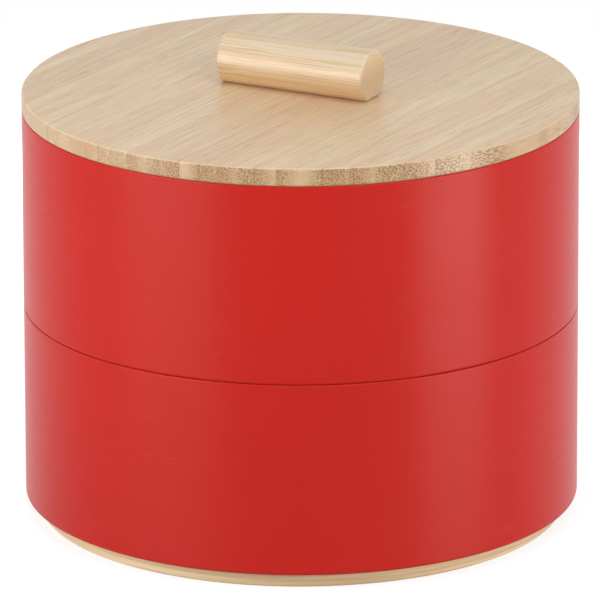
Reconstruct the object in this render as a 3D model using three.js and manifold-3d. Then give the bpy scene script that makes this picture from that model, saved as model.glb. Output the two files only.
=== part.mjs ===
// A round snack box of two stacked tiers with a lid, all in bamboo. Each tier is a red lacquered wall of
// moulded bamboo, a natural foot ring glued inside it and a base panel carried by that ring. The ring stands
// below the wall, so it is the foot of the box and, one tier up, the spigot that centres a tier in the mouth
// below it. The lid is a laminated bamboo disc with a ring of the same kind under it and a dowel handle on top.
// Millimetres, +Z up. The origin is the centre of the box on the table, and the handle lies along X.
import * as THREE from "three";
import { mergeVertices } from "three/addons/utils/BufferGeometryUtils.js";
import Module from "manifold-3d";

// Walls: one moulded ring for each tier, the upper one a little taller
const WALL_DIAMETER = 210;
const LOWER_WALL_HEIGHT = 74.2;
const UPPER_WALL_HEIGHT = 76.5;
const WALL_THICKNESS = 5.2;
const WALL_EASE = 0.4; // rounding of the rims, inside and out
const WALL_FOOT_EASE = 1; // rounding of the arris at the foot of the wall, outside

// Foot rings: glued inside the wall, standing out below it
const FOOT_HEIGHT = 6.3; // what shows below the wall, and what enters the tier underneath
const FOOT_SEAT = 6; // what is glued inside the wall
const RING_THICKNESS = 6;
const RING_EASE = 0.8; // rounding at the mouth of a ring, which leads it into the wall below

// Base panels: let into a rebate in the top of the foot ring
const BASE_THICKNESS = 4;
const BASE_LEDGE = 3; // width of the ledge that carries the panel
const BASE_EASE = 0.3;

// Lid: a disc flush with the wall, with a ring glued under it
const LID_DIAMETER = 210;
const LID_THICKNESS = 7;
const LID_EASE = 0.7;
const LID_RING_HEIGHT = 7;

// Handle: a dowel with a flat planed along it, screwed down through the lid
const HANDLE_DIAMETER = 20;
const HANDLE_LENGTH = 61.5;
const HANDLE_FLAT_DEPTH = 1.3;
const HANDLE_EASE = 0.8;

// Screws: countersunk, with a cross recess, driven from under the lid
const SCREW_SPACING = 34;
const SCREW_LENGTH = 16;
const SCREW_HEAD_DIAMETER = 7.6;
const SCREW_HEAD_HEIGHT = 2.2;
const SCREW_SHANK_DIAMETER = 3.8;
const SCREW_TIP_LENGTH = 3;
const SCREW_HEAD_RIM = 0.4; // straight edge of the head below its cone
const SCREW_SUNK = 0.3; // depth of the head below the face of the lid
const RECESS_SPAN = 4.2;
const RECESS_WIDTH = 1.1;
const RECESS_DEPTH = 1.3;

// Fits
const STACK_CLEARANCE = 0.5; // radial play of a spigot in the mouth it enters
const GLUE_LINE = 0.1;
const SCREW_CLEARANCE = 0.3;

// Facets
const ROUND_SEGMENTS = 72;
const EASE_STEPS = 2;
const HANDLE_SEGMENTS = 18; // in each half turn of the dowel
const SCREW_SEGMENTS = 20;

const COLOURS = {
  lacquer: { color: 0xc82e28, roughness: 0.4, metalness: 0 },
  lid: { color: 0xd6bfa1, roughness: 0.5, metalness: 0 },
  handle: { color: 0xe3c596, roughness: 0.5, metalness: 0 },
  ring: { color: 0xd3b283, roughness: 0.55, metalness: 0 },
  base: { color: 0xd8bd94, roughness: 0.55, metalness: 0 },
  steel: { color: 0xb9bcc0, roughness: 0.35, metalness: 1 },
};

// Sizes that follow from those above
const wallRadius = WALL_DIAMETER / 2;
const mouthRadius = wallRadius - WALL_THICKNESS;
const seatRadius = mouthRadius - GLUE_LINE;
const spigotRadius = mouthRadius - STACK_CLEARANCE;
const ringInnerRadius = spigotRadius - RING_THICKNESS;
const rebateRadius = ringInnerRadius + BASE_LEDGE;
const ringTop = FOOT_HEIGHT + FOOT_SEAT;
const ledgeHeight = ringTop - BASE_THICKNESS;
const lidUnderside = FOOT_HEIGHT + LOWER_WALL_HEIGHT + UPPER_WALL_HEIGHT;
const lidTop = lidUnderside + LID_THICKNESS;

const wasm = await Module();
wasm.setup();

// Turns a closed mesh into a solid that can be cut.
function solidOf(geometry) {
  const bare = geometry.clone();
  bare.deleteAttribute("normal");
  bare.deleteAttribute("uv");
  const merged = mergeVertices(bare, 1e-4);
  return new wasm.Manifold(
    new wasm.Mesh({
      numProp: 3,
      vertProperties: merged.getAttribute("position").array,
      triVerts: new Uint32Array(merged.index.array),
    }),
  );
}

// Turns a cut solid back into a mesh's geometry.
function geometryOf(solid) {
  const { vertProperties, triVerts } = solid.getMesh();
  const geometry = new THREE.BufferGeometry();
  geometry.setAttribute("position", new THREE.BufferAttribute(vertProperties, 3));
  geometry.setIndex(new THREE.BufferAttribute(triVerts, 1));
  geometry.computeVertexNormals();
  return geometry;
}

function cut(geometry, cutters) {
  return geometryOf(cutters.reduce((solid, cutter) => solid.subtract(solidOf(cutter)), solidOf(geometry)));
}

// The outline through corners [radius, height, ease], each rounded by its ease. A corner on the axis has none.
function easedOutline(corners) {
  const points = corners.map(([r, z]) => new THREE.Vector2(r, z));
  const outline = new THREE.Path();
  corners.forEach(([, , ease = 0], i) => {
    const corner = points[i];
    const before = points[(i + points.length - 1) % points.length];
    const after = points[(i + 1) % points.length];
    const start = corner.clone().add(before.clone().sub(corner).setLength(ease));
    const end = corner.clone().add(after.clone().sub(corner).setLength(ease));
    if (i === 0) outline.moveTo(start.x, start.y);
    else outline.lineTo(start.x, start.y);
    if (ease > 0) outline.quadraticCurveTo(corner.x, corner.y, end.x, end.y);
  });
  return outline.getPoints(EASE_STEPS);
}

// Revolves an outline, listed anticlockwise with radius to the right and height up, about the Z axis.
function revolve(points, segments = ROUND_SEGMENTS) {
  return new THREE.LatheGeometry(points, segments).rotateX(Math.PI / 2);
}

// A ring's section closes on itself; a disc's section starts and ends on the axis.
function ring(corners) {
  const points = easedOutline(corners);
  return revolve([...points, points[0]]);
}

function disc(corners, segments = ROUND_SEGMENTS) {
  return revolve(easedOutline(corners), segments);
}

function piece(name, geometry, finish) {
  const mesh = new THREE.Mesh(geometry, new THREE.MeshStandardMaterial(COLOURS[finish]));
  mesh.name = name;
  return mesh;
}

// The moulded wall: a plain ring with every rim eased, most of all round its foot.
function wallGeometry(height) {
  const top = FOOT_HEIGHT + height;
  return ring([
    [mouthRadius, FOOT_HEIGHT, WALL_EASE],
    [wallRadius, FOOT_HEIGHT, WALL_FOOT_EASE],
    [wallRadius, top, WALL_EASE],
    [mouthRadius, top, WALL_EASE],
  ]);
}

// The foot ring: full width where it is glued, turned down below, with a rebate for the base panel on top.
function footRingGeometry() {
  return ring([
    [ringInnerRadius, 0, RING_EASE],
    [spigotRadius, 0, RING_EASE],
    [spigotRadius, FOOT_HEIGHT],
    [seatRadius, FOOT_HEIGHT],
    [seatRadius, ringTop],
    [rebateRadius, ringTop],
    [rebateRadius, ledgeHeight],
    [ringInnerRadius, ledgeHeight],
  ]);
}

// The base panel: a disc on the ledge, flush with the top of the foot ring.
function baseGeometry() {
  const radius = rebateRadius - GLUE_LINE;
  return disc([
    [0, ledgeHeight],
    [radius, ledgeHeight, BASE_EASE],
    [radius, ringTop, BASE_EASE],
    [0, ringTop],
  ]);
}

// One tier, drawn with its foot at zero and then lifted to the height at which it stands.
function tier(name, wallHeight, footHeight) {
  const group = new THREE.Group();
  group.position.z = footHeight;
  group.add(
    piece(`${name}_wall`, wallGeometry(wallHeight), "lacquer"),
    piece(`${name}_foot_ring`, footRingGeometry(), "ring"),
    piece(`${name}_base`, baseGeometry(), "base"),
  );
  return group;
}

const screwPlaces = [
  ["handle_screw_left", -SCREW_SPACING / 2],
  ["handle_screw_right", SCREW_SPACING / 2],
];

// The screw's outline grown by a clearance: head, cone, shank and point, from the head's face upwards.
function screwOutline(clearance) {
  const headRadius = SCREW_HEAD_DIAMETER / 2 + clearance;
  const shankRadius = SCREW_SHANK_DIAMETER / 2 + clearance;
  const end = SCREW_LENGTH + clearance;
  return [
    [0, 0],
    [headRadius, 0],
    [headRadius, SCREW_HEAD_RIM + clearance],
    [shankRadius, SCREW_HEAD_HEIGHT + clearance],
    [shankRadius, end - SCREW_TIP_LENGTH],
    [0, end],
  ];
}

// The hole that a screw leaves in the lid and the handle, open at the lid's underside.
function screwHole(x) {
  const mouth = [
    [0, -SCREW_SUNK - SCREW_CLEARANCE],
    [SCREW_HEAD_DIAMETER / 2 + SCREW_CLEARANCE, -SCREW_SUNK - SCREW_CLEARANCE],
  ];
  const hole = disc([...mouth, ...screwOutline(SCREW_CLEARANCE).slice(2)], SCREW_SEGMENTS);
  return hole.translate(x, 0, lidUnderside + SCREW_SUNK);
}

// A countersunk screw, with two crossed slots cut into its head.
function screwGeometry() {
  const slot = (along, across) =>
    new THREE.BoxGeometry(along, across, 2 * RECESS_DEPTH);
  const recess = [slot(RECESS_SPAN, RECESS_WIDTH), slot(RECESS_WIDTH, RECESS_SPAN)];
  return cut(disc(screwOutline(0), SCREW_SEGMENTS), recess);
}

// The lid's disc, eased round both edges and bored for the screws.
function lidPanelGeometry() {
  const radius = LID_DIAMETER / 2;
  const panel = disc([
    [0, lidUnderside],
    [radius, lidUnderside, LID_EASE],
    [radius, lidTop, LID_EASE],
    [0, lidTop],
  ]);
  return cut(panel, screwPlaces.map(([, x]) => screwHole(x)));
}

// The ring under the lid, which drops into the mouth of the top tier.
function lidRingGeometry() {
  const bottom = lidUnderside - LID_RING_HEIGHT;
  return ring([
    [ringInnerRadius, bottom, RING_EASE],
    [spigotRadius, bottom, RING_EASE],
    [spigotRadius, lidUnderside],
    [ringInnerRadius, lidUnderside],
  ]);
}

// The dowel, drawn along X with its flat face down on the lid and its ends eased.
function handleGeometry() {
  const radius = HANDLE_DIAMETER / 2;
  const axisHeight = radius - HANDLE_FLAT_DEPTH;
  // The section is drawn smaller by the ease, which the rounded ends then give back.
  const innerRadius = radius - HANDLE_EASE;
  const innerAngle = Math.asin((axisHeight - HANDLE_EASE) / innerRadius);
  const section = new THREE.Shape();
  section.absarc(0, 0, innerRadius, -innerAngle, Math.PI + innerAngle, false);
  section.closePath();
  const dowel = new THREE.ExtrudeGeometry(section, {
    depth: HANDLE_LENGTH - 2 * HANDLE_EASE,
    curveSegments: HANDLE_SEGMENTS,
    bevelThickness: HANDLE_EASE,
    bevelSize: HANDLE_EASE,
    bevelSegments: EASE_STEPS,
  });
  dowel.translate(0, 0, HANDLE_EASE - HANDLE_LENGTH / 2);
  dowel.rotateX(Math.PI / 2).rotateZ(Math.PI / 2);
  dowel.translate(0, 0, lidTop + axisHeight);
  return cut(dowel, screwPlaces.map(([, x]) => screwHole(x)));
}

function lid() {
  const group = new THREE.Group();
  group.add(
    piece("lid_panel", lidPanelGeometry(), "lid"),
    piece("lid_locating_ring", lidRingGeometry(), "ring"),
    piece("lid_handle", handleGeometry(), "handle"),
  );
  for (const [name, x] of screwPlaces) {
    const screw = piece(name, screwGeometry(), "steel");
    screw.position.set(x, 0, lidUnderside + SCREW_SUNK);
    group.add(screw);
  }
  return group;
}

// The upper wall stands on the lower one's rim, with its foot ring inside
const snackBox = new THREE.Group();
snackBox.add(
  tier("lower", LOWER_WALL_HEIGHT, 0),
  tier("upper", UPPER_WALL_HEIGHT, LOWER_WALL_HEIGHT),
  lid(),
);

export default snackBox;
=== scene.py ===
"""Dresses a round two-tier snack box in bamboo and red lacquer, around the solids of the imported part."""

import math

import bpy
import numpy as np
from bpy.props import FloatProperty, FloatVectorProperty, IntProperty, PointerProperty
from bpy.types import Operator, Panel, PropertyGroup
from mathutils import Matrix, Vector


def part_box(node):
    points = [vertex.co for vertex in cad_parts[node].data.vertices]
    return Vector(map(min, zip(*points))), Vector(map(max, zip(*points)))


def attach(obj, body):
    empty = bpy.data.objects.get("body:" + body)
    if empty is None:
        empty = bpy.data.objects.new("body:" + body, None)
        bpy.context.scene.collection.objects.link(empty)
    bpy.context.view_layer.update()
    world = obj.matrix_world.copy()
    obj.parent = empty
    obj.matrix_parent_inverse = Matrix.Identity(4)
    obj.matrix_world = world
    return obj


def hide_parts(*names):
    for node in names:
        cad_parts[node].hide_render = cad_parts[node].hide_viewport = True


bl_info = {
    "name": "Tiered snack box",
    "version": (1, 0, 0),
    "blender": (4, 5, 0),
    "location": "View3D > Sidebar > Snack box",
    "description": "Makes the walls, rings, panels, lid and handle of a stacking bamboo box",
    "category": "Add Mesh",
}

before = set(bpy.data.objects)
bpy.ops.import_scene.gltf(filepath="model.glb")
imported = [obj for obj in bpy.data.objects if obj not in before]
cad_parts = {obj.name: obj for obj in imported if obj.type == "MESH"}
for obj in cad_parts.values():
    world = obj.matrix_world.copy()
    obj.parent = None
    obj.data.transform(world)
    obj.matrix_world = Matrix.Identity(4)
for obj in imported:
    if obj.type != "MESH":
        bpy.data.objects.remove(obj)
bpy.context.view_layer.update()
MM = 0.001
TIERS = ("lower", "upper")


# What the solids measure

def node_span(name):
    """Inner radius, outer radius, lowest and highest point of a node that is turned about the Z axis."""
    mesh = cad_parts[name].data
    flat = np.empty(3 * len(mesh.vertices), np.float32)
    mesh.vertices.foreach_get("co", flat)
    points = flat.reshape(-1, 3).astype(float)
    radius = np.hypot(points[:, 0], points[:, 1])
    return radius.min(), radius.max(), points[:, 2].min(), points[:, 2].max()


# Sizes, finishes and stage that a user may change

def length(name, description, millimetres):
    return FloatProperty(
        name=name, description=description, default=millimetres * MM, min=0.0, unit="LENGTH", precision=5
    )


def colour(name, description, *channels):
    return FloatVectorProperty(
        name=name, description=description, default=channels, min=0.0, max=1.0, size=3, subtype="COLOR"
    )


def angle(name, description, degrees):
    return FloatProperty(name=name, description=description, default=math.radians(degrees), subtype="ANGLE")


def plain(name, description, value):
    return FloatProperty(name=name, description=description, default=value, min=0.0)


class SnackBoxSizes(PropertyGroup):
    """Sizes that the solids' boxes don't give."""

    wall_ease: length("Wall ease", "Rounding of the walls' rims", 0.4)
    wall_foot_ease: length("Wall foot ease", "Rounding at the foot of a wall, outside", 1.0)
    ring_ease: length("Ring ease", "Rounding at the mouth of a ring", 0.8)
    base_ease: length("Base ease", "Rounding of a base panel's edges", 0.3)
    lid_ease: length("Lid ease", "Rounding of the lid's edges", 0.7)
    ring_thickness: length("Ring thickness", "Thickness of a ring below its rebate", 6.0)
    glue_line: length("Glue line", "Room between a base panel and its rebate", 0.1)
    handle_diameter: length("Handle diameter", "Diameter of the dowel before its flat is planed", 20.0)
    handle_ease: length("Handle ease", "Rounding of the dowel's ends", 0.8)
    screw_shank: length("Screw shank", "Diameter over the thread", 3.8)
    screw_head_height: length("Screw head height", "Height of the countersunk head", 2.2)
    screw_head_rim: length("Screw head rim", "Straight edge of the head below its cone", 0.4)
    screw_tip: length("Screw tip", "Length of the point", 3.0)
    screw_pitch: length("Screw pitch", "Rise of the thread in one turn", 1.5)
    screw_clearance: length("Screw clearance", "Room round a screw in the wood", 0.3)
    recess_span: length("Recess span", "Length of each slot in a screw's head", 4.2)
    recess_width: length("Recess width", "Width of each slot in a screw's head", 1.1)
    recess_depth: length("Recess depth", "Depth of the slots in a screw's head", 1.3)
    facets: IntProperty(name="Facets", description="Faces round a turned piece", default=240, min=24)


class SnackBoxFinish(PropertyGroup):
    """Colours and grain of the finishes."""

    lacquer: colour("Lacquer", "Red lacquer on the walls", 0.49, 0.0147, 0.0098)
    lid_rosy: colour("Lid, rosy", "Strips of the lid with a rosy cast", 0.625, 0.445, 0.285)
    lid_straw: colour("Lid, straw", "Strips of the lid with a straw cast", 0.65, 0.51, 0.325)
    dowel_cream: colour("Dowel, cream", "Pale bamboo of the handle", 0.605, 0.492, 0.36)
    dowel_gold: colour("Dowel, gold", "Streaks in the handle", 0.572, 0.378, 0.19)
    bent: colour("Bent bamboo", "Bamboo of the rings and of the walls inside", 0.88, 0.69, 0.44)
    panel_rosy: colour("Panel, rosy", "Strips of a base panel with a rosy cast", 0.57, 0.39, 0.21)
    panel_straw: colour("Panel, straw", "Strips of a base panel with a straw cast", 0.61, 0.45, 0.25)
    bundle: colour("Fibre bundles", "Ends of the fibres, where they are cut across", 0.19, 0.085, 0.028)
    steel: colour("Screw steel", "Bright zinc on the screws", 0.62, 0.62, 0.6)
    lid_strip: length("Lid strip", "Width of a strip in the lid", 7.3)
    lid_turn: angle("Lid strip turn", "From the handle's line to the lid's strips", 86.6)
    panel_strip: length("Panel strip", "Width of a strip in a base panel", 19.0)


class SnackBoxStage(PropertyGroup):
    """Camera and light."""

    azimuth: angle("Azimuth", "Camera's turn about the box, from facing +Y", 27.5)
    elevation: angle("Elevation", "Camera's height above the horizon", 17.55)
    roll: angle("Roll", "Camera's turn about its own line of sight", -0.144)
    distance: length("Distance", "From the camera to the point it looks at", 3528.0)
    aim_height: length("Aim height", "Height of the point that the camera looks at", 80.45)
    aim_side: length("Aim offset", "How far left of the axis the camera looks", 0.4)
    lens: FloatProperty(name="Lens", description="Focal length", default=558.5, unit="CAMERA")
    ambient: plain("Ambient", "Strength of the light from all round", 0.44)
    key_power: plain("Key", "Power of the soft light overhead", 12.0)
    fill_power: plain("Fill", "Power of the near light in front", 1.9)
    left_power: plain("Left panel", "Power of the low light on the left", 2.5)
    right_power: plain("Right panel", "Power of the low light on the right", 1.5)
    back_power: plain("Back panel", "Power of the low light behind", 1.3)


# Surfaces

EASE_STEPS = 5
HOLD = 0.4 * MM
SAME_POINT = 1e-7
SHARP_ANGLE = math.radians(40)


def eased_outline(corners):
    """Rounds an outline's corners (radius, height, ease). Each becomes a quarter arc about
    corner + ease * (back + ahead), from corner + ease * back to corner + ease * ahead, where back and
    ahead are the unit directions to its neighbours, with a short straight hold before and after it."""
    corners = np.array(corners, float)
    corner = corners[:, :2]
    back = np.roll(corner, 1, 0) - corner
    ahead = np.roll(corner, -1, 0) - corner
    back = (back / np.linalg.norm(back, axis=1, keepdims=True))[:, None]
    ahead = (ahead / np.linalg.norm(ahead, axis=1, keepdims=True))[:, None]
    corner = corner[:, None]
    ease = corners[:, 2][:, None, None]
    hold = np.where(ease > 0, ease + HOLD, 0)
    turn = np.linspace(0, np.pi / 2, EASE_STEPS + 1)[None, :, None]
    arc = corner + ease * (back + ahead) - ease * (ahead * np.cos(turn) + back * np.sin(turn))
    rounded = np.concatenate([corner + hold * back, arc, corner + hold * ahead], 1).reshape(-1, 2)
    step = np.linalg.norm(rounded - np.roll(rounded, 1, 0), axis=1)
    return rounded[step > SAME_POINT]


def turned(outline, facets):
    """Turns an outline about Z: (r, h) at angle a is (r cos a, r sin a, h), a row for each point of it."""
    turn = np.arange(facets) * (2 * np.pi / facets)
    radius, height = outline[:, :1], outline[:, 1:]
    return np.stack([radius * np.cos(turn), radius * np.sin(turn), height + 0 * turn], -1)


def grid_mesh(name, grid, ring):
    """A closed mesh from rows of points. Each row closes on itself. A ring's last row joins its first, and
    otherwise the first and last rows are poles, drawn to one point."""
    rows, columns = grid.shape[:2]
    if ring:
        points = grid.reshape(-1, 3)
        index = np.arange(rows * columns).reshape(rows, columns)
        low, high = index, np.roll(index, -1, 0)
        caps = []
    else:
        points = np.concatenate([grid[0, :1], grid[1:-1].reshape(-1, 3), grid[-1, :1]])
        index = 1 + np.arange((rows - 2) * columns).reshape(rows - 2, columns)
        low, high = index[:-1], index[1:]
        first, last = index[0], index[-1]
        caps = [
            np.stack([0 * first, np.roll(first, -1), first], -1),
            np.stack([last, np.roll(last, -1), 0 * last + len(points) - 1], -1),
        ]
    quads = np.stack([low, np.roll(low, -1, 1), np.roll(high, -1, 1), high], -1).reshape(-1, 4)
    faces = quads.tolist() + [face for cap in caps for face in cap.tolist()]
    mesh = bpy.data.meshes.new(name)
    mesh.from_pydata(points.tolist(), [], faces)
    return mesh


def soften(mesh):
    """Smooth shading, broken at the sharp arrises."""
    mesh.polygons.foreach_set("use_smooth", np.ones(len(mesh.polygons), bool))
    mesh.set_sharp_from_angle(angle=SHARP_ANGLE)
    mesh.update()


def place(mesh, body, nodes, slot, *materials):
    """Puts a finished mesh into the scene, in place of its solid and riding on its body."""
    soften(mesh)
    for material in materials:
        mesh.materials.append(material)
    piece = bpy.data.objects.new(mesh.name, mesh)
    bpy.context.scene.collection.objects.link(piece)
    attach(piece, body)
    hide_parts(*nodes)


def bored(mesh, cutters):
    """The mesh with each cutter's mesh taken out of it."""
    board = bpy.data.objects.new(mesh.name, mesh)
    drills = [bpy.data.objects.new(cutter.name, cutter) for cutter in cutters]
    for thing in (board, *drills):
        bpy.context.scene.collection.objects.link(thing)
    for drill in drills:
        hole = board.modifiers.new(drill.name, "BOOLEAN")
        hole.operation = "DIFFERENCE"
        hole.solver = "EXACT"
        hole.object = drill
    graph = bpy.context.evaluated_depsgraph_get()
    cut = bpy.data.meshes.new_from_object(board.evaluated_get(graph))
    cut.name = mesh.name + "_bored"
    for thing in (board, *drills):
        bpy.data.objects.remove(thing)
    return cut


# Shader nodes

FLOAT = "NodeSocketFloat"
VECTOR = "NodeSocketVector"


class Nodes:
    """Adds nodes to one tree. The methods take sockets or plain values, and return the sockets they make."""

    def __init__(self, tree):
        self.tree = tree

    def put(self, socket, value):
        if isinstance(value, bpy.types.NodeSocket):
            self.tree.links.new(value, socket)
        else:
            socket.default_value = value

    def add(self, kind, inputs, output=0, **settings):
        node = self.tree.nodes.new(kind)
        for name, value in settings.items():
            setattr(node, name, value)
        for key, value in inputs.items():
            self.put(node.inputs[key], value)
        return node.outputs[output]

    def math(self, operation, a, b=0.0, c=0.0):
        return self.add("ShaderNodeMath", {0: a, 1: b, 2: c}, operation=operation)

    def times(self, a, b):
        return self.math("MULTIPLY", a, b)

    def vector(self, operation, a, b=(0, 0, 0)):
        return self.add("ShaderNodeVectorMath", {0: a, 1: b}, operation=operation)

    def split(self, vector):
        node = self.add("ShaderNodeSeparateXYZ", {0: vector}).node
        return tuple(node.outputs)

    def join(self, x, y, z):
        return self.add("ShaderNodeCombineXYZ", {0: x, 1: y, 2: z})

    def mix(self, factor, a, b, blend="MIX"):
        inputs = {0: factor, 6: a, 7: b}
        return self.add("ShaderNodeMix", inputs, 2, data_type="RGBA", blend_type=blend, clamp_factor=True)

    def tinted(self, base, tint):
        return self.mix(1.0, base, (*tint, 1.0), "MULTIPLY")

    def between(self, value, low, high, start=0.0, end=1.0):
        inputs = {"Value": value, "From Min": low, "From Max": high, "To Min": start, "To Max": end}
        return self.add("ShaderNodeMapRange", inputs, interpolation_type="SMOOTHSTEP")

    def noise(self, vector, detail=2.0, roughness=0.5, w=None, output="Fac"):
        inputs = {"Vector": vector, "Scale": 1.0, "Detail": detail, "Roughness": roughness}
        if w is not None:
            inputs["W"] = w
        return self.add("ShaderNodeTexNoise", inputs, output, noise_dimensions="3D" if w is None else "4D")

    def spin(self, vector, turn):
        inputs = {"Vector": vector, "Angle": turn}
        return self.add("ShaderNodeVectorRotate", inputs, rotation_type="Z_AXIS")

    def coordinates(self):
        return self.add("ShaderNodeTexCoord", {}, "Object")

    def facing(self):
        return self.add("ShaderNodeNewGeometry", {}, "Normal")


def shared_group(name, inputs, outputs, build):
    """A shader node group of values, made once. inputs are (name, socket kind, default), and outputs are
    the names of its results."""
    group = bpy.data.node_groups.get(name)
    if group:
        return group
    group = bpy.data.node_groups.new(name, "ShaderNodeTree")
    for label, kind, default in inputs:
        socket = group.interface.new_socket(label, in_out="INPUT", socket_type=kind)
        socket.default_value = default
    for label in outputs:
        group.interface.new_socket(label, in_out="OUTPUT", socket_type=FLOAT)
    entry = group.nodes.new("NodeGroupInput")
    leave = group.nodes.new("NodeGroupOutput")
    for label, socket in build(Nodes(group), entry.outputs).items():
        group.links.new(socket, leave.inputs[label])
    return group


def use_group(nodes, group, **inputs):
    """Places a group in a tree and returns its outputs by name."""
    node = nodes.tree.nodes.new("ShaderNodeGroup")
    node.node_tree = group
    for name, value in inputs.items():
        nodes.put(node.inputs[name.title()], value)
    return node.outputs


# Waves to the metre in which straight fibres wander, and how far they go
WANDER_WAVES = (25, 25, 14)
WANDER_REACH = (0.0026, 0.0026, 0)


def straight_fibres():
    """Fibres that run straight through a solid: across and depth in X and Y, along in Z, all in metres.
    Streak and Band are tones from 0 to 1 with the fineness given, which change over the run given. Hairline
    marks fine dark lines in patches. Bundles marks the fibres' cut ends, as many to the metre as the
    closeness given, and larger where the density is high."""

    def build(n, given):
        wander = n.noise(n.vector("MULTIPLY", given["Vector"], WANDER_WAVES), 1, output="Color")
        wander = n.vector("MULTIPLY", n.vector("SUBTRACT", wander, (0.5, 0.5, 0.5)), WANDER_REACH)
        fibre = n.vector("ADD", given["Vector"], wander)
        x, y, along = n.split(fibre)
        across = n.math("DIVIDE", x, given["Fineness"])
        depth = n.math("DIVIDE", y, given["Fineness"])
        run = n.math("DIVIDE", along, given["Run"])

        def stretched(width, share):
            return n.vector("DIVIDE", n.join(across, depth, run), (width, width, share))

        streak = n.noise(stretched(1.0, 0.7), 3, 0.6)
        band = n.noise(stretched(4.5, 1.8), 2)
        patch = n.between(n.noise(stretched(8.0, 0.8), 1), 0.4, 0.6)
        hair = n.between(n.noise(stretched(0.56, 0.25), 2, 0.5), 0.55, 0.65)
        cells = {"Vector": n.join(x, y, 0.0), "Scale": given["Closeness"], "Randomness": 0.9}
        cell = n.add("ShaderNodeTexVoronoi", cells, "Distance", voronoi_dimensions="2D").node
        chance, _, _ = n.split(cell.outputs["Color"])
        plenty = n.times(given["Density"], n.math("MULTIPLY_ADD", chance, 0.6, 0.7))
        reach = n.math("MULTIPLY_ADD", plenty, 0.22, 0.16)
        dot = n.between(n.math("SUBTRACT", reach, cell.outputs["Distance"]), -0.08, 0.08)
        return {
            "Streak": streak,
            "Band": band,
            "Hairline": n.times(hair, patch),
            "Bundles": n.times(dot, n.between(plenty, 0.0, 0.6)),
        }

    inputs = [
        ("Vector", VECTOR, (0, 0, 0)),
        ("Fineness", FLOAT, 0.001),
        ("Run", FLOAT, 0.05),
        ("Density", FLOAT, 0.6),
        ("Closeness", FLOAT, 1100.0),
    ]
    return shared_group("Straight fibres", inputs, ["Streak", "Band", "Hairline", "Bundles"], build)


def bent_fibres():
    """Fibres that run round the Z axis: tones of distance from the axis and height at the fineness given,
    which change over the run given as the point goes round. All sizes are in metres."""

    def build(n, given):
        x, y, z = n.split(given["Vector"])
        radius = n.math("SQRT", n.math("ADD", n.times(x, x), n.times(y, y)))
        radial = n.math("DIVIDE", radius, given["Fineness"])
        height = n.math("DIVIDE", z, given["Fineness"])
        along = n.math("DIVIDE", x, given["Run"])
        around = n.math("DIVIDE", y, given["Run"])
        place_in = n.join(radial, height, along)
        streak = n.noise(place_in, 3, 0.6, w=around)
        slow = n.vector("MULTIPLY", place_in, (0.14, 0.14, 0.5))
        band = n.noise(slow, 2, 0.5, w=n.times(around, 0.5))
        hair = n.times(n.between(streak, 0.56, 0.7), n.between(band, 0.45, 0.62))
        return {"Streak": streak, "Band": band, "Hairline": hair}

    inputs = [("Vector", VECTOR, (0, 0, 0)), ("Fineness", FLOAT, 0.0005), ("Run", FLOAT, 0.03)]
    return shared_group("Bent fibres", inputs, ["Streak", "Band", "Hairline"], build)


def glued_strips():
    """Strips of uneven width, side by side. Tone and Kind are numbers from 0 to 1 for each strip, Side runs
    from -0.5 to 0.5 across it, Joint marks the glue line, and Seed moves the fibres so that no two strips
    match."""

    def build(n, given):
        place_across = n.math("DIVIDE", given["Across"], given["Width"])
        cells = {"W": place_across, "Scale": 1.0, "Randomness": 0.35}
        cell = n.add("ShaderNodeTexVoronoi", cells, "Color", voronoi_dimensions="1D").node
        edge = n.add("ShaderNodeTexVoronoi", cells, voronoi_dimensions="1D", feature="DISTANCE_TO_EDGE")
        tone, other, third = n.split(cell.outputs["Color"])
        side = n.math("SUBTRACT", place_across, cell.outputs["W"])
        flip = n.math("SUBTRACT", n.times(n.math("GREATER_THAN", other, 0.5), 2.0), 1.0)
        return {
            "Tone": tone,
            "Kind": third,
            "Side": n.times(side, flip),
            "Joint": n.between(edge, 0.01, 0.06, 1.0, 0.0),
            "Seed": n.times(other, 3.0),
        }

    inputs = [("Across", FLOAT, 0.0), ("Width", FLOAT, 0.01)]
    return shared_group("Glued strips", inputs, ["Tone", "Kind", "Side", "Joint", "Seed"], build)


# Finishes

def new_material(name, colour_values, **settings):
    """A material with one Principled shader. settings are values that are the same all over the surface."""
    material = bpy.data.materials.new(name)
    material.use_nodes = True
    material.diffuse_color = (*colour_values, 1.0)
    shader = material.node_tree.nodes["Principled BSDF"]
    for label, value in settings.items():
        shader.inputs[label.replace("_", " ").title().replace("Ior", "IOR")].default_value = value
    return material, Nodes(material.node_tree), shader


def feed(nodes, shader, base, roughness, height, depth):
    """Joins a colour, a roughness and a bump height, deep as given in metres, to the shader."""
    nodes.put(shader.inputs["Base Color"], base)
    nodes.put(shader.inputs["Roughness"], roughness)
    bump = nodes.add("ShaderNodeBump", {"Strength": 1.0, "Distance": depth, "Height": height})
    nodes.put(shader.inputs["Normal"], bump)


def shade(tint, factor):
    """A colour made darker or lighter by a factor, with an alpha of 1."""
    return tuple(min(1.0, channel * factor) for channel in tint) + (1.0,)


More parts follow.
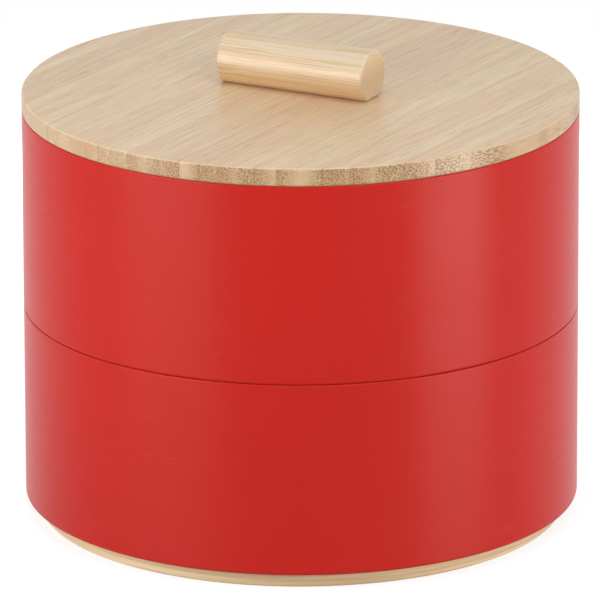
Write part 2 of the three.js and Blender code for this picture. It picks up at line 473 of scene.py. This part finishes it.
def lacquer_material(finish):
    """Satin red lacquer on moulded bamboo. The fibres under it run round the wall, so it gleams in tall
    bands, with short fine raised lines in patches, bumped and also painted lighter as a painted gleam."""
    tint = finish.lacquer
    material, n, shader = new_material(
        "Red lacquer", tint, specular_ior_level=0.19, specular_tint=(1, 0.97, 0.88, 1), anisotropic=0.7,
        anisotropic_rotation=0.25,
    )
    at = n.coordinates()
    fine = use_group(n, bent_fibres(), vector=at, fineness=0.0004, run=0.01)
    broad = use_group(n, bent_fibres(), vector=at, fineness=0.012, run=0.05)
    ridge_and_gleam = n.times(n.between(fine["Streak"], 0.52, 0.68), n.between(broad["Streak"], 0.42, 0.62))
    base = n.mix(n.between(broad["Band"], 0.3, 0.7), shade(tint, 0.98), shade(tint, 1.02))
    # Painted highlight: the raised lines are painted lighter to stand in for their gleam, as well as bumped
    base = n.mix(n.times(ridge_and_gleam, 0.6), base, shade(tint, 1.12))
    roughness = n.between(fine["Streak"], 0.3, 0.7, 0.4, 0.35)
    height = n.math("ADD", ridge_and_gleam, n.times(fine["Streak"], 0.3))
    feed(n, shader, base, roughness, height, depth=0.025 * MM)
    return material


def bent_material(finish):
    """Natural bamboo bent into a ring, with its fibres running round it."""
    tint = finish.bent
    material, n, shader = new_material("Bent bamboo", tint, specular_ior_level=0.4)
    at = n.coordinates()
    fine = use_group(n, bent_fibres(), vector=at, fineness=0.0007, run=0.05)
    broad = use_group(n, bent_fibres(), vector=at, fineness=0.0035, run=0.16)
    streaked = (tint[0] * 0.84, tint[1] * 0.78, tint[2] * 0.7, 1.0)
    base = n.mix(n.between(fine["Streak"], 0.35, 0.65), streaked, shade(tint, 1.05))
    base = n.mix(n.between(broad["Streak"], 0.3, 0.7), n.tinted(base, (0.92, 0.87, 0.8)), base)
    base = n.mix(n.times(fine["Hairline"], 0.5), base, shade(tint, 0.6))
    roughness = n.between(fine["Streak"], 0.3, 0.7, 0.5, 0.4)
    feed(n, shader, base, roughness, fine["Streak"], depth=0.06 * MM)
    return material


# Stretches of X, in metres, over which the fibre bundles grow in number and then stop
BUNDLES_GROW = (-0.06, 0.02)
BUNDLES_STOP = (0.1, 0.104)


def bundle_density(n, at, strip):
    """Fibre bundles crowd towards one side of a strip, which was the outside of the cane. There are few
    towards -X and none at the far +X side, where the strips were cut from farther in."""
    crowd = n.math("MULTIPLY_ADD", strip["Kind"], 0.9, strip["Side"])
    x, _, _ = n.split(at)
    deep_cut = n.times(n.between(x, *BUNDLES_GROW, 0.2, 1.0), n.between(x, *BUNDLES_STOP, 1.0, 0.0))
    return n.times(n.between(crowd, -0.4, 0.9), deep_cut)


def strip_tones(n, strip, fibre, rosy, straw):
    """The colour of the strips' faces: each strip its own tone, streaks and dark dashes along it, and a dark
    glue line at one side of some strips."""
    base = n.mix(n.between(strip["Tone"], 0.25, 0.75), shade(rosy, 1.0), shade(straw, 1.0))
    base = n.mix(n.between(fibre["Band"], 0.35, 0.65, 0.5, 0.0), base, shade(rosy, 0.92))
    base = n.mix(n.between(fibre["Streak"], 0.35, 0.65), n.tinted(base, (0.94, 0.89, 0.83)), base)
    base = n.mix(n.times(fibre["Hairline"], 0.6), base, n.tinted(base, (0.72, 0.59, 0.5)))
    open_joint = n.times(n.between(strip["Kind"], 0.55, 0.85), n.between(strip["Side"], -0.1, 0.1))
    joint = n.times(strip["Joint"], n.math("MULTIPLY_ADD", open_joint, 0.6, 0.1))
    return n.mix(joint, base, n.tinted(base, (0.55, 0.42, 0.33)))


def strip_material(name, finish, width, rosy, straw, turn):
    """Bamboo strips glued side by side, lying at the turn given from the X axis. The board's edge is browner
    than its faces, and dotted where it cuts across the fibres."""
    material, n, shader = new_material(name, straw, specular_ior_level=0.5)
    at = n.coordinates()
    along, across, z = n.split(n.spin(at, -turn))
    strip = use_group(n, glued_strips(), across=across, width=width)
    density = bundle_density(n, at, strip)
    seed = strip["Seed"]
    fibre_at = n.join(n.math("ADD", across, seed), n.math("ADD", z, seed), n.math("ADD", along, seed))
    fibre = use_group(
        n, straight_fibres(), vector=fibre_at, fineness=0.0011, run=0.05, density=density, closeness=1500.0
    )
    base = strip_tones(n, strip, fibre, rosy, straw)

    facing_along, _, up = n.split(n.spin(n.facing(), -turn))
    edge = n.between(n.math("ABSOLUTE", up), 0.3, 0.9, 1.0, 0.0)
    end_grain = n.times(edge, n.between(n.math("ABSOLUTE", facing_along), 0.14, 0.3))
    brown = n.math("MULTIPLY_ADD", n.times(end_grain, density), 0.6, n.times(edge, 0.45))
    base = n.mix(brown, base, n.tinted(base, (0.8, 0.71, 0.58)))
    dots = n.times(fibre["Bundles"], end_grain)
    base = n.mix(n.times(dots, 0.75), base, (*finish.bundle, 1.0))

    # Painted light: the upper rounded edge is painted pale as a painted highlight, and the lower one dark as
    # a painted shadow where the board sits
    painted_edge_highlight = n.times(edge, n.between(up, 0.15, 0.5))
    base = n.mix(n.times(painted_edge_highlight, 0.4), base, shade(straw, 1.1))
    painted_edge_shadow = n.times(n.between(up, -0.9, -0.4, 0.0, 1.0), n.between(up, -0.4, -0.05, 1.0, 0.0))
    base = n.mix(n.times(painted_edge_shadow, 0.5), base, shade(rosy, 0.4))
    roughness = n.between(fibre["Streak"], 0.3, 0.7, 0.4, 0.32)
    feed(n, shader, base, roughness, n.math("SUBTRACT", fibre["Streak"], dots), depth=0.05 * MM)
    return material


# Moves the dowel to a figure of its own in the fibres
DOWEL_FIGURE = 0.37


def dowel_material(finish):
    """The turned dowel: long streaks along X and fine dots on its ends, with painted light: more gold
    towards its underside as a painted warm reflection of the lid, and paler rounded ends as painted
    highlights.
    """
    cream, gold = finish.dowel_cream, finish.dowel_gold
    material, n, shader = new_material("Turned bamboo", cream, specular_ior_level=0.5)
    x, y, z = n.split(n.coordinates())
    fibre_at = n.join(y, n.math("ADD", z, DOWEL_FIGURE), x)
    fibre = use_group(
        n, straight_fibres(), vector=fibre_at, fineness=0.0008, run=0.25, density=0.5, closeness=1400.0
    )
    base = n.mix(n.between(fibre["Band"], 0.35, 0.6, 0.55, 0.0), shade(cream, 1.0), shade(gold, 1.12))
    facing, _, up = n.split(n.facing())
    # Painted reflection: the underside is painted more gold, and its lowest part lighter, for warm light
    # bounced up from the lid
    base = n.mix(n.between(up, -0.2, 0.35, 0.5, 0.0), base, shade(gold, 1.15))
    base = n.mix(n.between(up, -0.85, -0.4, 0.6, 0.0), base, shade(gold, 1.6))
    base = n.mix(n.between(fibre["Streak"], 0.42, 0.5, 0.7, 0.0), base, shade(gold, 0.97))
    base = n.mix(n.times(fibre["Hairline"], 0.7), base, shade(gold, 0.72))

    facing = n.math("ABSOLUTE", facing)
    end = n.between(facing, 0.8, 0.98)
    base = n.mix(n.times(end, 0.8), base, n.mix(0.5, shade(gold, 1.65), shade(cream, 1.32)))
    dots = n.times(fibre["Bundles"], end)
    base = n.mix(n.times(dots, 0.3), base, (*finish.bundle, 1.0))
    # Painted highlight: the rounded ends of the dowel are painted paler
    painted_end_highlight = n.times(n.between(facing, 0.2, 0.5), n.between(facing, 0.8, 0.98, 1.0, 0.0))
    base = n.mix(n.times(painted_end_highlight, 0.5), base, shade(cream, 1.1))
    roughness = n.between(fibre["Streak"], 0.3, 0.7, 0.36, 0.28)
    feed(n, shader, base, roughness, n.math("SUBTRACT", fibre["Streak"], dots), depth=0.05 * MM)
    return material


def steel_material(finish):
    """Bright zinc, a little clouded."""
    material, n, shader = new_material("Bright zinc", finish.steel, metallic=1.0)
    cloud = n.noise(n.vector("MULTIPLY", n.coordinates(), (900, 900, 900)), 3)
    base = n.mix(cloud, shade(finish.steel, 0.85), shade(finish.steel, 1.1))
    feed(n, shader, base, n.between(cloud, 0.3, 0.7, 0.25, 0.42), cloud, depth=0.02 * MM)
    return material


def finish_of(name, make):
    """The material of that name, made the first time it is asked for."""
    return bpy.data.materials.get(name) or make()


# Walls, rings and base panels

class SNACKBOX_OT_tier_walls(Operator):
    """Add the two red walls, red over their rims and natural inside"""

    bl_idname = "snackbox.tier_walls"
    bl_label = "Tier walls"

    def execute(self, context):
        sizes, finish = context.scene.snack_sizes, context.scene.snack_finish
        red = finish_of("Red lacquer", lambda: lacquer_material(finish))
        natural = finish_of("Bent bamboo", lambda: bent_material(finish))
        ease, foot_ease = sizes.wall_ease, sizes.wall_foot_ease
        for tier in TIERS:
            node = f"{tier}_wall"
            inner, outer, bottom, top = node_span(node)
            outline = eased_outline([
                (inner, bottom, ease), (outer, bottom, foot_ease), (outer, top, ease), (inner, top, ease),
            ])
            mesh = grid_mesh(f"{tier}_red_wall", turned(outline, sizes.facets), ring=True)
            # The lacquer goes over the rims and stops at their inner arrises
            radius = ((outline + np.roll(outline, -1, 0)) / 2)[:, 0]
            bare = np.repeat(radius < inner + ease, sizes.facets)
            place(mesh, f"{tier}_tier", [node], "red_lacquer", red, natural)
            mesh.polygons.foreach_set("material_index", bare.astype(np.int32))
        return {"FINISHED"}


class SNACKBOX_OT_bent_rings(Operator):
    """Add the foot rings of the tiers and the ring under the lid"""

    bl_idname = "snackbox.bent_rings"
    bl_label = "Bent rings"

    def execute(self, context):
        sizes, finish = context.scene.snack_sizes, context.scene.snack_finish
        natural = finish_of("Bent bamboo", lambda: bent_material(finish))
        ease = sizes.ring_ease
        inner, spigot, bottom, top = node_span("lid_locating_ring")
        outline = eased_outline(
            [(inner, bottom, ease), (spigot, bottom, ease), (spigot, top, 0), (inner, top, 0)]
        )
        mesh = grid_mesh("lid_ring", turned(outline, sizes.facets), ring=True)
        place(mesh, "lid", ["lid_locating_ring"], "bent_bamboo", natural)
        for tier in TIERS:
            node = f"{tier}_foot_ring"
            inner, seat, bottom, top = node_span(node)
            _, panel, ledge, _ = node_span(f"{tier}_base")
            _, _, step, _ = node_span(f"{tier}_wall")
            spigot = inner + sizes.ring_thickness
            rebate = panel + sizes.glue_line
            outline = eased_outline([
                (inner, bottom, ease), (spigot, bottom, ease), (spigot, step, 0), (seat, step, 0),
                (seat, top, 0), (rebate, top, 0), (rebate, ledge, 0), (inner, ledge, 0),
            ])
            mesh = grid_mesh(f"{tier}_bent_foot", turned(outline, sizes.facets), ring=True)
            place(mesh, f"{tier}_tier", [node], "bent_bamboo", natural)
        return {"FINISHED"}


def disc_outline(node, ease):
    """The outline of a flat disc, from the axis below to the axis above, with its two edges eased."""
    _, radius, bottom, top = node_span(node)
    return eased_outline([(0, bottom, 0), (radius, bottom, ease), (radius, top, ease), (0, top, 0)])


class SNACKBOX_OT_base_panels(Operator):
    """Add the tiers' base panels"""

    bl_idname = "snackbox.base_panels"
    bl_label = "Base panels"

    def execute(self, context):
        sizes, finish = context.scene.snack_sizes, context.scene.snack_finish
        name = "Base strips"
        rosy, straw = finish.panel_rosy, finish.panel_straw
        strips = finish_of(name, lambda: strip_material(name, finish, finish.panel_strip, rosy, straw, 0.0))
        for tier in TIERS:
            node = f"{tier}_base"
            outline = disc_outline(node, sizes.base_ease)
            mesh = grid_mesh(f"{tier}_floor_panel", turned(outline, sizes.facets), ring=False)
            place(mesh, f"{tier}_tier", [node], "bamboo_panel", strips)
        return {"FINISHED"}


# Lid, handle and screws

DRILL_FACETS = 48
DRILL_OVERRUN = 2 * MM
DRILL_POINT = 2 * MM


def screw_places():
    """The screws' nodes, each with the x of its axis and its lowest and highest corner."""
    found = []
    for node in ("handle_screw_left", "handle_screw_right"):
        low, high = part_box(node)
        found.append((node, (low.x + high.x) / 2, low, high))
    return found


def screw_drills(sizes):
    """Closed shapes that bore the lid and the handle for the screws: the screw's own outline, grown by the
    clearance and carried out through the lid's underside."""
    drills = []
    room = sizes.screw_clearance
    for node, x, low, high in screw_places():
        head = (high.x - low.x) / 2 + room
        shank = sizes.screw_shank / 2 + room
        outline = np.array([
            (0, low.z - DRILL_OVERRUN),
            (head, low.z - DRILL_OVERRUN),
            (head, low.z + sizes.screw_head_rim + room),
            (shank, low.z + sizes.screw_head_height + room),
            (shank, high.z - DRILL_POINT),
            (0, high.z + room),
        ])
        grid = turned(outline, DRILL_FACETS) + np.array([x, 0, 0])
        drills.append(grid_mesh(f"{node}_drill", grid, ring=False))
    return drills


class SNACKBOX_OT_lid_board(Operator):
    """Add the lid's board of glued strips, bored for the screws"""

    bl_idname = "snackbox.lid_board"
    bl_label = "Lid board"

    def execute(self, context):
        sizes, finish = context.scene.snack_sizes, context.scene.snack_finish
        outline = disc_outline("lid_panel", sizes.lid_ease)
        board = grid_mesh("lid_board", turned(outline, sizes.facets), ring=False)
        name = "Lid strips"
        rosy, straw, turn = finish.lid_rosy, finish.lid_straw, finish.lid_turn
        strips = finish_of(name, lambda: strip_material(name, finish, finish.lid_strip, rosy, straw, turn))
        place(bored(board, screw_drills(sizes)), "lid", ["lid_panel"], "bamboo_lid", strips)
        return {"FINISHED"}


SECTION_STEPS = 64
FLAT_STEPS = 14
END_SCALES = (0.0, 0.5, 0.93)


def dowel_grid(length_along, radius, axis_height, ease):
    """The dowel along X, as rows of sections. A section drawn in by d is an arc of radius r - d closed by a
    flat d above the seat. Each end is a quarter round, d = ease (1 - sin t) at ease (1 - cos t) from the
    end, and is closed by sections that shrink to a pole."""
    turn = np.linspace(0, np.pi / 2, EASE_STEPS + 1)
    cap = len(END_SCALES)
    inset = np.concatenate([np.full(cap, ease), ease * (1 - np.sin(turn)), [0.0]])
    along = np.concatenate([np.zeros(cap), ease * (1 - np.cos(turn)), [ease + HOLD]])
    scale = np.concatenate([END_SCALES, np.ones(EASE_STEPS + 2)])
    inset = np.concatenate([inset, inset[::-1]])
    scale = np.concatenate([scale, scale[::-1]])[:, None]
    x = np.concatenate([along - length_along / 2, length_along / 2 - along[::-1]])
    reach, flat = (radius - inset)[:, None], (axis_height - inset)[:, None]
    start = np.arcsin(flat / reach)
    around = -start + np.linspace(0, 1, SECTION_STEPS) * (np.pi + 2 * start)
    across = np.linspace(-1, 1, FLAT_STEPS)[1:-1] * reach * np.cos(start)
    y = np.concatenate([reach * np.cos(around), across], 1) * scale
    z = np.concatenate([reach * np.sin(around), -flat + 0 * across], 1) * scale
    return np.stack([x[:, None] + 0 * y, y, z], -1)


class SNACKBOX_OT_dowel_handle(Operator):
    """Add the dowel handle on the lid"""

    bl_idname = "snackbox.dowel_handle"
    bl_label = "Dowel handle"

    def execute(self, context):
        sizes, finish = context.scene.snack_sizes, context.scene.snack_finish
        low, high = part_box("lid_handle")
        radius = sizes.handle_diameter / 2
        grid = dowel_grid(high.x - low.x, radius, high.z - low.z - radius, sizes.handle_ease)
        grid += np.array([0, 0, high.z - radius])
        dowel = grid_mesh("dowel_handle", grid, ring=False)
        bamboo = finish_of("Turned bamboo", lambda: dowel_material(finish))
        place(bored(dowel, screw_drills(sizes)), "lid", ["lid_handle"], "bamboo_dowel", bamboo)
        return {"FINISHED"}


# A screw's grid, and its thread's core as a share of the shank and slope as a share of the pitch
SCREW_FACETS = 72
FACE_ROWS = 30
SHAFT_ROWS = 90
SHAFT_GAP = 0.2 * MM
PLAIN_NECK = 1.2 * MM
THREAD_CORE = 0.72
THREAD_SLOPE = 0.22
SLOT_END_SLOPE = 0.35 * MM
SLOT_SIDE_SLOPE = 0.25 * MM


def slot_depth(sizes, along, across):
    """1 inside a slot of a screw's head, falling to 0 over its sloping ends and sides."""
    ends = np.clip((sizes.recess_span / 2 - np.abs(along)) / SLOT_END_SLOPE, 0, 1)
    sides = np.clip((sizes.recess_width / 2 - np.abs(across)) / SLOT_SIDE_SLOPE, 0, 1)
    return ends * sides


def screw_grid(sizes, head, height):
    """A countersunk screw standing on its head. Its outline is turned about Z, the head's face is pressed in
    by a cross of two slots, and the shank swells to a thread where the fraction of
    h / pitch - a / (2 pi) is near a half."""
    shank, head_height = sizes.screw_shank / 2, sizes.screw_head_height
    face = np.stack([np.linspace(0, head, FACE_ROWS), np.zeros(FACE_ROWS)], -1)
    cone = np.array([(head, sizes.screw_head_rim), (shank, head_height)])
    shaft_height = np.linspace(head_height + SHAFT_GAP, height - SHAFT_GAP, SHAFT_ROWS)
    point = np.clip((height - shaft_height) / sizes.screw_tip, 0, 1)
    shaft = np.stack([shank * point, shaft_height], -1)
    outline = np.concatenate([face, cone, shaft, [(0, height)]])
    turn = np.arange(SCREW_FACETS) * (2 * np.pi / SCREW_FACETS)
    radius, rise = outline[:, :1] + 0 * turn, outline[:, 1:] + 0 * turn
    phase = (rise / sizes.screw_pitch - turn / (2 * np.pi)) % 1
    crest = np.clip(1 - np.abs(phase - 0.5) / THREAD_SLOPE, 0, 1)
    threaded = rise > head_height + PLAIN_NECK
    radius = np.where(threaded, radius * (THREAD_CORE + (1 - THREAD_CORE) * crest), radius)
    x, y = radius * np.cos(turn), radius * np.sin(turn)
    slot = np.maximum(slot_depth(sizes, x, y), slot_depth(sizes, y, x))
    on_face = np.arange(len(outline))[:, None] < FACE_ROWS
    return np.stack([x, y, rise + np.where(on_face, slot, 0) * sizes.recess_depth], -1)


class SNACKBOX_OT_handle_screws(Operator):
    """Add the screws that hold the handle"""

    bl_idname = "snackbox.handle_screws"
    bl_label = "Handle screws"

    def execute(self, context):
        sizes, finish = context.scene.snack_sizes, context.scene.snack_finish
        zinc = finish_of("Bright zinc", lambda: steel_material(finish))
        for node, x, low, high in screw_places():
            grid = screw_grid(sizes, (high.x - low.x) / 2, high.z - low.z) + np.array([x, 0, low.z])
            mesh = grid_mesh(node.replace("handle_screw", "countersunk_screw"), grid, ring=False)
            place(mesh, "lid", [node], "screw_steel", zinc)
        return {"FINISHED"}


# Stage

# Reach of the floor in metres, its grey for light on the box, and its grey and glow where it is seen
FLOOR_REACH = 6.0
FLOOR_BOUNCE = 0.25
FLOOR_SHADOW = 0.3
FLOOR_GLOW = 0.78
LIGHT_AIM = (0, 0, 0.09)

# Soft panels: degrees round from the camera, and in metres the height of the middle, the distance from the
# axis, and the panel's own width and height
PANELS = {
    "key": (8, 1.9, 0.25, 1.2, 1.2),
    "fill": (35, 0.6, 0.7, 0.5, 0.3),
    "left": (-52, 0.22, 0.6, 0.42, 0.3),
    "right": (60, 0.06, 0.6, 0.3, 0.1),
    "back": (180, 0.06, 0.5, 0.3, 0.06),
}


def seen_ray(n):
    """1 for a ray from the camera, or one that a glossy or clear surface sends on."""
    path = n.add("ShaderNodeLightPath", {}).node
    seen = n.math("MAXIMUM", path.outputs["Is Camera Ray"], path.outputs["Is Glossy Ray"])
    return n.math("MAXIMUM", seen, path.outputs["Is Transmission Ray"])


def floor_material():
    """A pale floor. Where it is seen or reflected it glows up to white, and keeps the box's soft shadow."""
    material = bpy.data.materials.new("pale_floor")
    material.use_nodes = True
    tree = material.node_tree
    tree.nodes.clear()
    n = Nodes(tree)
    seen = seen_ray(n)
    matt = n.add("ShaderNodeBsdfDiffuse", {"Color": shade((1, 1, 1), FLOOR_BOUNCE)})
    soft = n.add("ShaderNodeBsdfDiffuse", {"Color": shade((1, 1, 1), FLOOR_SHADOW)})
    glow = n.add("ShaderNodeEmission", {"Color": (1, 1, 1, 1), "Strength": FLOOR_GLOW})
    bright = n.add("ShaderNodeAddShader", {0: soft, 1: glow})
    surface = n.add("ShaderNodeMixShader", {0: seen, 1: matt, 2: bright})
    tree.links.new(surface, tree.nodes.new("ShaderNodeOutputMaterial").inputs["Surface"])
    return material


def lay_floor(scene):
    """One square under the box."""
    floor = bpy.data.meshes.new("floor")
    corners = [(x * FLOOR_REACH, y * FLOOR_REACH, 0) for x, y in ((-1, -1), (1, -1), (1, 1), (-1, 1))]
    floor.from_pydata(corners, [], [(0, 1, 2, 3)])
    floor.materials.append(floor_material())
    floor_object = bpy.data.objects.new("floor", floor)
    scene.collection.objects.link(floor_object)


def light_room(scene, ambient):
    """Even light from all round, seen as white."""
    world = bpy.data.worlds.new("studio")
    world.use_nodes = True
    tree = world.node_tree
    tree.nodes.clear()
    n = Nodes(tree)
    strength = n.add("ShaderNodeMapRange", {"Value": seen_ray(n), "To Min": ambient, "To Max": 1.0})
    sky = n.add("ShaderNodeBackground", {"Color": (1, 1, 1, 1), "Strength": strength})
    tree.links.new(sky, tree.nodes.new("ShaderNodeOutputWorld").inputs["Surface"])
    scene.world = world


def light_panel(scene, name, azimuth, power):
    """A soft panel that faces the box, at its place round from the camera's azimuth."""
    turn, height, distance, panel_width, panel_height = PANELS[name]
    lamp = bpy.data.lights.new(name, "AREA")
    lamp.shape = "RECTANGLE"
    lamp.size, lamp.size_y = panel_width, panel_height
    lamp.energy = power
    lamp_object = bpy.data.objects.new(name, lamp)
    scene.collection.objects.link(lamp_object)
    around = azimuth + math.radians(turn)
    lamp_object.location = (distance * math.sin(around), -distance * math.cos(around), height)
    aim = Vector(LIGHT_AIM) - lamp_object.location
    lamp_object.rotation_euler = aim.to_track_quat("-Z", "Y").to_euler()
    lamp_object.visible_camera = False


def set_camera(scene, stage):
    """A long lens that looks at a point near the box's axis, from its azimuth and elevation."""
    camera = bpy.data.cameras.new("camera")
    camera.lens = stage.lens
    camera_object = bpy.data.objects.new("camera", camera)
    scene.collection.objects.link(camera_object)
    around, above = stage.azimuth, stage.elevation
    side = Vector((math.cos(around), math.sin(around), 0))
    front = Vector((math.sin(around), -math.cos(around), 0))
    back = front * math.cos(above) + Vector((0, 0, math.sin(above)))
    aim = Vector((0, 0, stage.aim_height)) - side * stage.aim_side
    camera_object.location = aim + back * stage.distance
    look = (-back).to_track_quat("-Z", "Y").to_matrix() @ Matrix.Rotation(stage.roll, 3, "Z")
    camera_object.rotation_euler = look.to_euler()
    scene.camera = camera_object


class SNACKBOX_OT_stage(Operator):
    """Add the floor, the light and the camera"""

    bl_idname = "snackbox.stage"
    bl_label = "Stage"

    def execute(self, context):
        scene, stage = context.scene, context.scene.snack_stage
        scene.view_settings.view_transform = "Standard"
        lay_floor(scene)
        light_room(scene, stage.ambient)
        for name in PANELS:
            light_panel(scene, name, stage.azimuth, getattr(stage, f"{name}_power"))
        set_camera(scene, stage)
        return {"FINISHED"}


# Panel and registration

OPERATORS = (
    SNACKBOX_OT_stage,
    SNACKBOX_OT_tier_walls,
    SNACKBOX_OT_bent_rings,
    SNACKBOX_OT_base_panels,
    SNACKBOX_OT_lid_board,
    SNACKBOX_OT_dowel_handle,
    SNACKBOX_OT_handle_screws,
)


class SNACKBOX_PT_panel(Panel):
    """Lists the pieces and what can be changed"""

    bl_label = "Snack box"
    bl_idname = "SNACKBOX_PT_panel"
    bl_space_type = "VIEW_3D"
    bl_region_type = "UI"
    bl_category = "Snack box"

    def draw(self, context):
        for operator in OPERATORS:
            self.layout.operator(operator.bl_idname)
        for group in (context.scene.snack_sizes, context.scene.snack_finish, context.scene.snack_stage):
            box = self.layout.box()
            for name in group.__annotations__:
                box.prop(group, name)


CLASSES = (SnackBoxSizes, SnackBoxFinish, SnackBoxStage, *OPERATORS, SNACKBOX_PT_panel)


def register():
    for cls in CLASSES:
        bpy.utils.register_class(cls)
    bpy.types.Scene.snack_sizes = PointerProperty(type=SnackBoxSizes)
    bpy.types.Scene.snack_finish = PointerProperty(type=SnackBoxFinish)
    bpy.types.Scene.snack_stage = PointerProperty(type=SnackBoxStage)


def unregister():
    del bpy.types.Scene.snack_stage
    del bpy.types.Scene.snack_finish
    del bpy.types.Scene.snack_sizes
    for cls in reversed(CLASSES):
        bpy.utils.unregister_class(cls)


def main():
    register()
    bpy.ops.snackbox.stage()
    bpy.ops.snackbox.tier_walls()
    bpy.ops.snackbox.bent_rings()
    bpy.ops.snackbox.base_panels()
    bpy.ops.snackbox.lid_board()
    bpy.ops.snackbox.dowel_handle()
    bpy.ops.snackbox.handle_screws()


if __name__ == "__main__":
    main()
